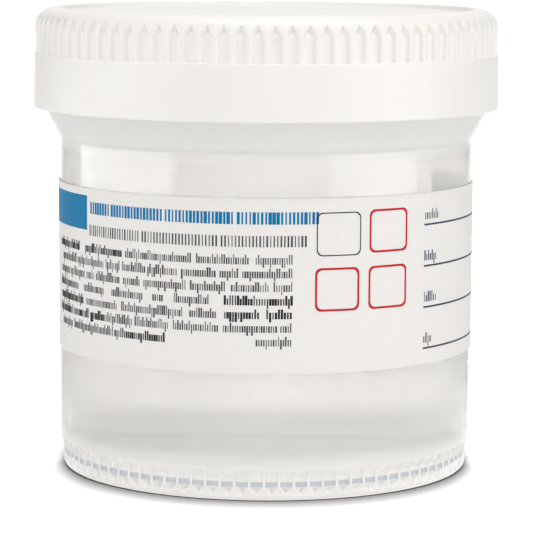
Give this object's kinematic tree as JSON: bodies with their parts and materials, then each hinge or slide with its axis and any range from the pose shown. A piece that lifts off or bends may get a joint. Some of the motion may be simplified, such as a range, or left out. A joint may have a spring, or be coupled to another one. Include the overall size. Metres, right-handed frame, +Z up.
{
  "type": "specimen container",
  "caption": "Round lab specimen jar in translucent plastic with a ribbed white screw cap, a wrap label and clear liquid inside.",
  "frame": {"origin": "on the jar's axis, at the plane that the container stands on", "axes": "+Z up along the axis, towards the cap; the middle of the label's front faces -Y"},
  "size_m": [0.071, 0.071, 0.0702],
  "materials": {
    "jar_polypropylene": "moulded, translucent",
    "cap_white": "moulded, satin",
    "liner_foam": "smooth foam",
    "label_paper": "coated, printed",
    "clear_liquid": "clear liquid"
  },
  "bodies": {
    "jar": {"jar": "jar_polypropylene", "label": "label_paper", "liquid_fill": "clear_liquid"},
    "liner": {"cap_liner": "liner_foam"},
    "cap": {"screw_cap": "cap_white"}
  },
  "joints": [
    {"name": "cap_rise", "type": "slide", "parent": "jar", "child": "liner", "axis": [0, 0, 1], "range_m": [0, 0.0136]},
    {"name": "cap_turn", "type": "hinge", "parent": "liner", "child": "cap", "pos_m": [0, 0, 0.0669], "axis": [0, 0, 1], "range_deg": [0, 540]}
  ],
  "couplings": [
    {"joint": "cap_rise", "follows": "cap_turn", "m_per_rad": 0.0014324}
  ]
}
